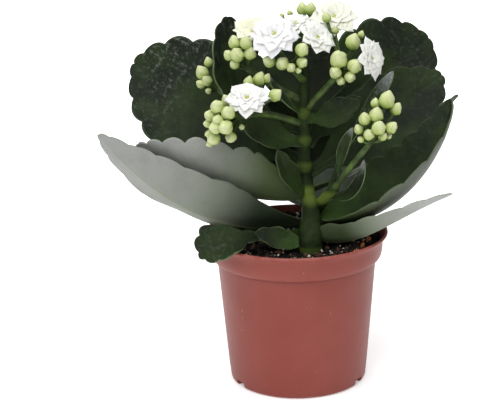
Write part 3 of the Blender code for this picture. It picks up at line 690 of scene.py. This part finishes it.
def face_relief(s, b, f, length, half, wave):
    """Height of the face over its folded sheet: waved edge, midrib, veins and dimples."""
    r = abs(b)
    lift = wave * (r / half) ** 2 * math.sin(WAVES * s + (0.0 if b > 0 else 1.7))
    rib_wide = 0.9 + 1.6 * (1.0 - s)
    lift -= (0.3 + 0.9 * (1.0 - s)) * min(1.0, half / 16.0) * math.exp(-(r / rib_wide) ** 2)
    vein = math.sin(VEINS * s - VEIN_SLANT * r / half)
    lift -= VEIN_DEEP * min(1.0, half / 20.0) * max(0.0, vein) ** 6 * min(1.0, r / 4.0)
    spot = Vector((s * length * DIMPLE_SCALE, b * DIMPLE_SCALE, half * 1.6))
    return lift + DIMPLE_DEEP * min(1.0, half / 20.0) * noise.noise(spot) * f


def grow_leaf(spec):
    """One blade: a flat lobed sheet bent along its spine, folded up and given its flesh."""
    spine = spec[:4]
    focus, half, widest, (fold_right, fold_left), (lobes, notch), wave, share, tones = spec[4:]
    columns = LOBE_STEPS * lobes if lobes else NARROW_STEPS
    rows = LARGE_ROWS if half > LARGE_HALF else SMALL_ROWS if lobes else NARROW_ROWS
    length = sum((bezier(spine, (i + 1) / 20) - bezier(spine, i / 20)).length for i in range(20))
    bpy.ops.mesh.primitive_grid_add(x_subdivisions=columns, y_subdivisions=rows, size=2.0)
    blade = bpy.context.object
    flesh = blade.vertex_groups.new(name="flesh")
    laid = []
    uppers = []
    for vert in blade.data.vertices:
        t = (vert.co.x + 1.0) / 2.0
        f = ((vert.co.y + 1.0) / 2.0) ** 0.8
        s, b = flat_point(t, f, length, half, widest, lobes, notch, share)
        here, upper, sideways = leaf_axes(spine, focus, s)
        r = abs(b)
        angle = math.radians(fold_right if b > 0 else fold_left)
        angle *= FOLD_AT_RIB + (1.0 - FOLD_AT_RIB) * r / half
        lift = face_relief(s, b, f, length, half, wave)
        flat = sideways * math.copysign(r * math.cos(angle), b)
        vert.co = (here + flat + upper * (r * math.sin(angle) + lift)) * MM
        laid.append((s, f * (1.0 if t < 0.5 else -1.0), s * length, b))
        uppers.append(upper)
        body = 0.45 + 0.55 * math.exp(-(r / (half * 0.3)) ** 2) * (1.0 - 0.6 * s)
        flesh.add([vert.index], body if f < 0.97 else 0.34, "REPLACE")
    first = blade.data.uv_layers[0]
    first.name = "blade"
    second = blade.data.uv_layers.new(name="skin")
    for loop in blade.data.loops:
        s, f, along, across = laid[loop.vertex_index]
        first.data[loop.index].uv = (s, 0.5 + 0.5 * f)
        second.data[loop.index].uv = (along * 0.01, across * 0.01)
    facing = sum(face.normal.dot(uppers[face.vertices[0]]) for face in blade.data.polygons)
    edit(blade)
    bpy.ops.mesh.remove_doubles(threshold=0.00002)
    if facing < 0.0:
        bpy.ops.mesh.flip_normals()
    bpy.ops.object.mode_set(mode="OBJECT")
    for material in (leaf_upper, leaf_under, leaf_margin):
        blade.data.materials.append(material)
    thick = blade.modifiers.new("flesh", "SOLIDIFY")
    thick.thickness = LEAF_THICK * MM
    thick.offset = 0.0
    thick.vertex_group = "flesh"
    thick.material_offset = 1
    thick.material_offset_rim = 2
    bpy.ops.object.modifier_apply(modifier=thick.name)
    tone = blade.data.color_attributes.new("tone", "FLOAT_COLOR", "POINT")
    for point in tone.data:
        point.color = (*tones, 0.0 if lobes else 1.0)
    bpy.ops.object.shade_smooth()
    return blade


def along_blade(t):
    """How far along the blade a point lies: 0 at the stem and 1 at the tip."""
    return t.axis(t.node("ShaderNodeUVMap", {"uv_map": "blade"}), 0)


def near_edge(t):
    """How near the blade's edge a point lies: 0 on the midrib and 1 at the edge."""
    across = t.axis(t.node("ShaderNodeUVMap", {"uv_map": "blade"}), 1)
    return t.math("ABSOLUTE", across * 2.0 - 1.0)


def flat_skin(t):
    """Where a point lies on the leaf laid flat, 1 for every 100 mm."""
    return t.node("ShaderNodeUVMap", {"uv_map": "skin"})


leaf_upper, upper_shader, t = finish("leaf_upper_face", specular=0.14)
bloom_and_sheen, green, paleness_and_light = (t.channel("tone", i) for i in range(3))
along = along_blade(t)
edge = near_edge(t)
grain = t.noise(34.0, 10.0, where=flat_skin(t), rough=0.78)
leaf_colour = t.mix(t.noise(38.0, 3.0).between(0.4, 0.65), LEAF_BLACK, LEAF_DEEP)
toward_base = 1.0 - along.between(0.05, 0.75)
fresh = toward_base * green * (0.35 + 0.65 * t.noise(55.0, 3.0).between(0.35, 0.7))
leaf_colour = t.mix(fresh, leaf_colour, LEAF_FRESH)
# Grey bloom, partly a painted sheen of light on the waxy face, in fine specks on the outer half of
# the blade.
dust_and_sheen = grain.between(0.5, 0.63) * (0.05 + 0.95 * along.between(0.55, 0.85))
dust_and_sheen = dust_and_sheen * (0.25 + 0.75 * t.noise(16.0, 2.0).between(0.35, 0.6)) * bloom_and_sheen
leaf_colour = t.mix(dust_and_sheen * 0.8, leaf_colour, BLOOM_AND_SHEEN_GREY)
rib = 1.0 - edge.between(0.02, 0.07)
leaf_colour = t.mix(rib * 0.35 * toward_base, leaf_colour, LEAF_FRESH)
# Pale edge line, partly the leaf's own and partly painted light, left out on the back leaves in
# shade.
leaf_colour = t.mix(edge.between(0.955, 0.99) * 0.6 * paleness_and_light, leaf_colour, LEAF_EDGE)
narrow = t.node("ShaderNodeAttribute", {"attribute_name": "tone"}, out=3)
felt = 0.5 + 0.5 * t.noise(900.0, 5.0, rough=0.7).between(0.4, 0.6)
leaf_colour = t.mix(narrow * along.between(0.82, 0.99) * felt, leaf_colour, TIP_GREY)
feed(upper_shader, leaf_colour, "Base Color")
feed(upper_shader, 0.3 + 0.25 * grain + 0.2 * dust_and_sheen, "Roughness")
feed(upper_shader, t.bump(grain + 0.35 * t.noise(420.0, 4.0), 0.0011, 0.7), "Normal")

leaf_under, under_shader, t = finish("leaf_underside", specular=0.14)
green = t.channel("tone", 1)
paleness_and_light = t.channel("tone", 2)
along = along_blade(t)
skin = flat_skin(t)
haze = t.noise(9.0, 4.0, where=skin)
# Underside paleness, partly the leaf's own and partly painted light: pale on the front leaves,
# painted shade near black on the leaves at the back.
under_colour = t.mix(paleness_and_light, UNDER_DULL_AND_SHADE, UNDER_PALE)
under_colour = t.mix(haze.between(0.4, 0.75) * 0.2, under_colour, UNDER_GREY)
toward_green = 1.0 - along.between(0.45, 0.92)
under_colour = t.mix(toward_green * paleness_and_light * 0.85, under_colour, UNDER_SAGE)
# Painted shade near the stem: towards its base the underside darkens to near black, less so on the
# greener leaves, which turn fresh green there.
toward_base = 1.0 - along.between(0.26, 0.6)
base_green_and_shade = t.mix(green, UNDER_BASE_SHADE, UNDER_FRESH)
under_colour = t.mix(toward_base * 0.95, under_colour, base_green_and_shade)
rib = 1.0 - near_edge(t).between(0.02, 0.09)
under_colour = t.mix(rib * 0.3, under_colour, UNDER_RIB)
fleck = t.noise(120.0, 5.0, where=skin, rough=0.7).between(0.5, 0.7)
under_colour = t.mix(fleck * 0.16, under_colour, UNDER_DULL_AND_SHADE)
feed(under_shader, under_colour, "Base Color")
feed(under_shader, 0.42 + 0.2 * haze, "Roughness")
feed(under_shader, t.bump(t.noise(60.0, 6.0, where=skin), 0.0004, 0.6), "Normal")

leaf_margin, margin_shader, t = finish("leaf_margin", specular=0.35)
# The margin is pale past the stalk on lit leaves and dark on the back leaves: partly painted light
# and shade.
past_stalk = t.channel("tone", 2) * along_blade(t).between(0.15, 0.35)
margin_colour = t.mix(past_stalk, MARGIN_DARK, MARGIN_PALE)
mottle = t.noise(160.0, 3.0).between(0.35, 0.7)
feed(margin_shader, t.mix(mottle, margin_colour, MARGIN_MID), "Base Color")
feed(margin_shader, 0.4 + 0.2 * t.noise(300.0, 2.0), "Roughness")

for name, spec in LEAVES.items():
    settle(grow_leaf(spec), name + "_blade", [name])

# Flower sprays. Green stalks that fork at a hub into short bud stalks, each with a small
# pointed calyx and a tight pale bud whose petals overlap in a turn. Each: root, bend, hub,
# buds as (x, y, z, radius) and the flowers it carries.
SPRAYS = {
    "spray_low_left": ((3.4, -0.6, 151), (-14, -8, 158), (-31, -27, 162), [
        (-42, -39, 170, 3.6), (-36.5, -41, 167, 3.6), (-46, -37, 165, 3.0),
        (-42, -42, 163.5, 2.9), (-47.5, -35, 160, 2.2), (-43.5, -42, 159.5, 3.3),
        (-38, -44, 160, 3.8), (-46.5, -35, 154.5, 2.5), (-44.5, -38, 152.5, 3.4),
        (-35.5, -38, 153, 2.9), (-47, -33, 148.5, 1.7), (-29.5, -34, 157.5, 1.5),
        (-37, -27, 170.5, 2.8), (-25.3, -19, 178.4, 2.8), (-19.6, -19, 180, 3.3),
        (-15.6, -19, 180.4, 2.3), (-11.3, -28, 173, 3.3)], ["bloom_front_left"]),
    "spray_back_left": ((3.4, 2.6, 140), (-14, 12, 146), (-43, 17, 168), [
        (-47.5, 18, 183, 2.5), (-51, 16, 177.5, 3.6), (-48.5, 13, 173.5, 2.9),
        (-52, 14, 171.5, 2.5), (-48, 12, 168, 1.7)], []),
    "spray_upper_left": ((3.4, 0.6, 164), (-12, 0, 173), (-26, -6, 184), [
        (-32, -10, 199, 3.4), (-26, -14, 199.5, 3.4), (-24, -13, 193.5, 3.4),
        (-31, -14, 193, 3.8), (-35.5, -12, 192.5, 2.8), (-32.5, -12, 187.5, 2.6)],
        ["bloom_upper_left"]),
    "spray_centre": ((5, -2, 176), (1, -8, 181), (-3, -12, 187), [
        (-13.5, -16, 189.5, 3.2), (-6.5, -18, 188.5, 3.4), (-2, -20, 186.5, 2.4),
        (4, -20, 196, 3.5), (4, -19, 189, 2.9), (2, -18, 184.5, 1.7)],
        ["bloom_centre"]),
    "spray_top": ((6, 0, 186.3), (6.2, 0.6, 191.5), (8, 6, 197), [
        (6, 16, 212, 3.3), (10.5, 15, 212, 3.3), (-5.5, 18, 208.5, 1.5),
        (-1, 17, 210, 1.7)], ["bloom_back", "bloom_top"]),
    "spray_upper_right": ((8, -1, 160), (17, -5, 171), (27, -7, 182), [
        (32.3, -10, 197.5, 4.0), (24, -18, 190, 4.6), (22, -20, 183.3, 3.2),
        (25, -18, 178, 2.2), (32.5, -19, 186.3, 3.8), (30, -19, 180.4, 2.9),
        (37, -6, 201, 1.8), (18.5, -2, 210, 2.5), (23.2, 0, 202.4, 2.1)],
        ["bloom_top_right", "bloom_right"]),
    "spray_low_right": ((21.2, -17.2, 117.3), (30, -26, 132), (40, -33, 147), [
        (42.5, -32, 168, 2.4), (48.5, -34, 170, 4.2), (53.5, -32, 164.5, 3.1),
        (42.5, -38, 163, 3.7), (36.5, -38, 161, 3.2), (33.5, -36, 155, 2.5),
        (43.5, -42, 157, 3.7), (50.5, -38, 156, 3.1), (38.5, -40, 153, 2.9),
        (34.5, -36, 149.5, 1.8), (46, -37, 151, 2.3), (49.5, -35, 150.5, 1.5)], []),
}

# Each flower: the foot of its tube, the way it faces, its radius, how far it is open (1 for
# petals lying flat) and how cream its white is.
BLOOMS = {
    "bloom_front_left": ((-26.3, -33, 171.5), (0.0, -0.62, 0.78), 11.5, 1.0, 0.15),
    "bloom_upper_left": ((-22, -3, 201), (-0.15, -0.45, 0.88), 12.0, 0.6, 0.9),
    "bloom_centre": ((-10.8, -15, 203), (0.02, -0.77, 0.64), 13.5, 1.0, 0.0),
    "bloom_back": ((2, 9, 203.5), (-0.1, -0.4, 0.9), 10.0, 0.9, 0.2),
    "bloom_top": ((12, -6, 198.5), (0.4, -0.62, 0.66), 11.3, 0.8, 0.25),
    "bloom_top_right": ((23, 10, 207), (0.05, -0.66, 0.75), 13.5, 0.9, 0.55),
    "bloom_right": ((39.5, -15, 189), (0.75, -0.62, 0.25), 11.5, 0.85, 0.25),
}
MAIN_STALK_RADII = [2.0, 1.75, 1.6]
BUD_STALK_RADII = [1.0, 0.8, 0.95]
FLOWER_STALK_RADII = [1.2, 1.0, 1.3]
BUD_LIFT = Vector((0, -0.25, 0.35))
BUD_PETALS = 4
BUD_SEGMENTS = 32
BUD_RINGS = 14
BUD_TALL = 1.42
LAP_DEEP = 0.18
LAP_TWIST = 1.1
BUD_GREEN_TO_LIT_TIP = [(0.0, (0.09, 0.17, 0.022)), (0.3, (0.26, 0.35, 0.075)),
               (0.6, (0.43, 0.5, 0.185)), (1.0, (0.6, 0.64, 0.36))]
LAP_GREEN = (0.26, 0.36, 0.07)
BUD_MOTTLE = (0.42, 0.52, 0.16)
STALK_DARK = (0.022, 0.04, 0.009)
STALK_FRESH = (0.075, 0.125, 0.022)


def turned_to(direction):
    """The turn that brings a thing standing up to face the other way given."""
    return Vector((0, 0, 1)).rotation_difference(direction).to_matrix()


def grow_bud(place, radius, toward, twist):
    """A closed bud: an egg drawn to a point, its petals lapped over one another."""
    bpy.ops.mesh.primitive_uv_sphere_add(segments=BUD_SEGMENTS, ring_count=BUD_RINGS, radius=1.0)
    bud = bpy.context.object
    turn = turned_to(toward)
    laps = []
    for vert in bud.data.vertices:
        x, y, z = vert.co
        around = math.atan2(y, x) + twist + LAP_TWIST * z
        lap = (around / (2.0 * math.pi) * BUD_PETALS) % 1.0
        swell = 1.0 + LAP_DEEP * (0.5 - lap) * (1.0 - z**6)
        slim = (1.04 - 0.46 * max(z, 0.0) ** 1.6) * swell
        tall = BUD_TALL if z > 0 else 1.0
        point = Vector((x * slim, y * slim, z * tall + 0.08 * max(0.0, z) ** 10)) * radius
        vert.co = (place + turn @ point) * MM
        laps.append(lap if abs(z) < 0.98 else 0.5)
    bpy.ops.object.shade_smooth_by_angle(angle=math.radians(27))
    layer = bud.data.color_attributes.new("shade", "FLOAT_COLOR", "POINT")
    for vert, point, lap in zip(bud.data.vertices, layer.data, laps):
        up = ((vert.co / MM - place).dot(toward) / radius + 1.0) / 2.2
        point.color = (min(max(up, 0.0), 1.0), lap, 0.0, 1.0)
    return bud


def grow_calyx(place, radius, toward, twist):
    """The green cup under a bud, cut into four points."""
    bpy.ops.mesh.primitive_cylinder_add(vertices=16, radius=1.0, depth=1.0, end_fill_type="NGON")
    cup = bpy.context.object
    turn = turned_to(toward)
    for vert in cup.data.vertices:
        x, y, z = vert.co
        point_up = abs(math.cos(2.0 * (math.atan2(y, x) + twist)))
        wide = 0.62 if z > 0 else 0.3
        tall = -0.62 + 0.5 * point_up if z > 0 else -1.12
        vert.co = (place + turn @ Vector((x * wide, y * wide, tall)) * radius) * MM
    bpy.ops.object.shade_smooth_by_angle(angle=math.radians(50))
    return cup


def paint_with(piece, finishes, index):
    """Gives the piece these materials, and all its faces the one with this number."""
    piece.data.materials.clear()
    for material in finishes:
        piece.data.materials.append(material)
    for face in piece.data.polygons:
        face.material_index = index
    return piece


bud_skin, bud_shader, t = finish("bud_skin", specular=0.4, scatter=0.15,
                                 scatter_reach=(0.003, 0.004, 0.001))
# Green at the foot and pale at the tip along the bud's own axis: partly its own colour and partly
# painted light on the bud's upper end.
up = t.channel("shade", 0) + 0.16 * t.noise(420.0, 3.0) - 0.08
bud_colour = t.node("ShaderNodeValToRGB", {"stops": BUD_GREEN_TO_LIT_TIP}, {0: up})
bud_colour = t.mix(t.channel("shade", 1).between(0.78, 0.98) * 0.55, bud_colour, LAP_GREEN)
mottle = t.noise(900.0, 4.0).between(0.5, 0.75)
feed(bud_shader, t.mix(mottle * 0.25, bud_colour, BUD_MOTTLE), "Base Color")
feed(bud_shader, 0.42 + 0.15 * t.noise(500.0, 3.0), "Roughness")
feed(bud_shader, t.bump(t.noise(1800.0, 3.0), 0.00012), "Normal")

stalk_green, stalk_shader, t = finish("stalk_green", specular=0.35, scatter=0.1,
                                      scatter_reach=(0.002, 0.003, 0.001))
stalk_colour = t.mix(t.noise(140.0, 4.0).between(0.35, 0.7), STALK_DARK, STALK_FRESH)
feed(stalk_shader, stalk_colour, "Base Color")
feed(stalk_shader, 0.42 + 0.2 * t.noise(500.0, 3.0), "Roughness")
feed(stalk_shader, t.bump(t.noise(1500.0, 3.0), 0.0001), "Normal")

spray_finishes = (bud_skin, stalk_green)
for name, (root, bend, hub, buds, carried) in SPRAYS.items():
    hub = Vector(hub)
    bits = [paint_with(stalk([root, bend, hub], MAIN_STALK_RADII, 5, 12), spray_finishes, 1)]
    for i, (x, y, z, radius) in enumerate(buds):
        place = Vector((x, y, z))
        toward = ((place - hub).normalized() + BUD_LIFT).normalized()
        foot = place - toward * radius * 0.9
        knee = hub.lerp(foot, 0.6) - Vector((0, 0, 0.6))
        thread = stalk([hub, knee, foot], BUD_STALK_RADII, 3, 5)
        bits.append(paint_with(thread, spray_finishes, 1))
        bits.append(paint_with(grow_calyx(place, radius, toward, i * 0.7), spray_finishes, 1))
        bits.append(paint_with(grow_bud(place, radius, toward, i * 1.3), spray_finishes, 0))
    for flower_name in carried:
        end, facing = (Vector(value) for value in BLOOMS[flower_name][:2])
        bow = end - facing.normalized() * 5.0
        thread = stalk([hub, bow, end], FLOWER_STALK_RADII, 4, 8)
        bits.append(paint_with(thread, spray_finishes, 1))
    settle(join_up(bits), name + "_buds", [name])

# Double flowers. Pointed white petals in crowded whorls on a short green tube, the outer
# ones spread flat, the inner ones cupped round a yellow green heart of small curled petals.
# Each whorl: petals, their share of the radius, rise (degrees), step up, breadth to length.
WHORLS = [(8, 1.0, 12.0, 0.0, 0.74), (8, 0.84, 23.0, 0.3, 0.74), (6, 0.6, 38.0, 0.7, 0.8),
          (4, 0.34, 58.0, 1.0, 0.95)]
UPRIGHT = 86.0
PETAL_THICK = 0.3
PETAL_CURL = 0.35
TUBE_RISE = (0.0, 1.4, 2.6)
TUBE_RADII = [1.5, 2.0, 2.1]
HEART_RING = 6
HEART_REACH = 0.75
HEART_RADII = [0.5, 0.45, 0.7]
PETAL_COLOURS = [(0.0, (0.5, 0.52, 0.2)), (0.16, (0.68, 0.68, 0.46)),
                 (0.4, (0.73, 0.73, 0.705)), (1.0, (0.75, 0.75, 0.77))]
PETAL_CREAM = (0.64, 0.65, 0.4)
PETAL_SHADE = (0.68, 0.68, 0.75)
HEART_GREEN = (0.46, 0.48, 0.12)
HEART_PALE = (0.68, 0.69, 0.38)
petal_rng = random.Random(5)


def grow_petal(length, width, rise, seat):
    """One petal: a sheet cut to a pointed oval, cupped, arched back and set in its whorl."""
    bpy.ops.mesh.primitive_grid_add(x_subdivisions=6, y_subdivisions=9, size=2.0)
    petal = bpy.context.object
    spin, step, turn, place = seat
    tilt = math.radians(rise)
    lean = petal_rng.uniform(-0.08, 0.08)
    laid = []
    for vert in petal.data.vertices:
        along = 1.0 - (0.5 - 0.5 * vert.co.y) ** 1.4
        side = vert.co.x
        shape = max(0.0, math.sin(math.pi * (0.1 + 0.9 * along) ** 1.3)) ** 0.75
        shape = max(shape, 0.22 * (1.0 - along))
        tip = length * (along - 0.1 * abs(side) ** 1.4 * along**3)
        across = side * shape * width / 2.0
        bow = tilt - PETAL_CURL * (along - 0.25)
        cup = 0.1 * width * (side * shape) ** 2 + 0.06 * length * math.sin(math.pi * along)
        cup += 0.015 * length * math.sin(9.0 * side + 7.0 * along + spin * 3.0) * along
        out = 0.7 + tip * math.cos(bow) - cup * math.sin(bow)
        up = 1.0 + step + tip * math.sin(bow) + cup * math.cos(bow)
        local = Matrix.Rotation(spin, 3, "Z") @ Vector((across + lean * tip, out, up))
        vert.co = (place + turn @ local) * MM
        laid.append((along, abs(side)))
    sheet = petal.data.uv_layers[0]
    sheet.name = "petal"
    for loop in petal.data.loops:
        sheet.data[loop.index].uv = laid[loop.vertex_index]
    thick = petal.modifiers.new("flesh", "SOLIDIFY")
    thick.thickness = PETAL_THICK * MM
    thick.offset = 0.0
    bpy.ops.object.modifier_apply(modifier=thick.name)
    bpy.ops.object.shade_smooth()
    return petal


# Petals glow a little in their own colour: painted light that lifts the shade between them.
petal_white, petal_shader, t = finish("petal_white", specular=0.2, scatter=0.3, glow=0.07,
                                      scatter_reach=(0.004, 0.004, 0.003))
along = t.axis(t.node("ShaderNodeUVMap", {"uv_map": "petal"}), 0)
petal_colour = t.node("ShaderNodeValToRGB", {"stops": PETAL_COLOURS}, {0: along})
cream = t.channel("shade", 0)
petal_colour = t.mix(cream * (1.0 - 0.4 * along), petal_colour, PETAL_CREAM)
petal_colour = t.mix(t.noise(260.0, 4.0).between(0.5, 0.8) * 0.3, petal_colour, PETAL_SHADE)
feed(petal_shader, petal_colour, "Base Color")
feed(petal_shader, petal_colour, "Emission Color")
feed(petal_shader, 0.5 + 0.12 * t.noise(420.0, 3.0), "Roughness")
feed(petal_shader, t.bump(t.noise(700.0, 5.0), 0.00018), "Normal")

heart_green, heart_shader, t = finish("flower_heart", specular=0.3)
heart_colour = t.mix(t.noise(600.0, 3.0).between(0.35, 0.7), HEART_GREEN, HEART_PALE)
feed(heart_shader, heart_colour, "Base Color")
feed(heart_shader, 0.5 + 0.1 * t.noise(600.0, 2.0), "Roughness")

flower_finishes = (petal_white, stalk_green, heart_green)
for name, (foot, facing, radius, opening, cream) in BLOOMS.items():
    foot = Vector(foot)
    facing = Vector(facing).normalized()
    turn = turned_to(facing)
    bits = []
    for w, (count, share, rise, step, breadth) in enumerate(WHORLS):
        lift = rise + (1.0 - opening) * (UPRIGHT - rise)
        for i in range(count):
            spin = 2.0 * math.pi * (i + 0.5 * (w % 2) + 0.13 * w) / count
            size = radius * share * petal_rng.uniform(0.94, 1.05)
            seat = (spin + petal_rng.uniform(-0.07, 0.07), step, turn, foot)
            bits.append(grow_petal(size, size * breadth * petal_rng.uniform(0.92, 1.1),
                                   lift + petal_rng.uniform(-4.0, 4.0), seat))
    petals = paint_with(join_up(bits), flower_finishes, 0)
    layer = petals.data.color_attributes.new("shade", "FLOAT_COLOR", "POINT")
    for point in layer.data:
        point.color = (cream, 0.0, 0.0, 1.0)
    bits = [petals]
    for i in range(HEART_RING + 1):
        spin = 2.0 * math.pi * i / HEART_RING
        reach = HEART_REACH if i < HEART_RING else 0.0
        aside = turn @ Vector((math.cos(spin) * reach, math.sin(spin) * reach, 0.0))
        low = foot + facing * 1.0 + aside
        top = foot + facing * (3.0 + 0.5 * (i % 2)) + aside * 1.2
        curl = stalk([low, low.lerp(top, 0.5), top], HEART_RADII, 2, 2)
        bits.append(paint_with(curl, flower_finishes, 2))
    tube = stalk([foot + facing * rise for rise in TUBE_RISE], TUBE_RADII, 4, 4)
    bits.append(paint_with(tube, flower_finishes, 1))
    settle(join_up(bits), name + "_petals", [name])
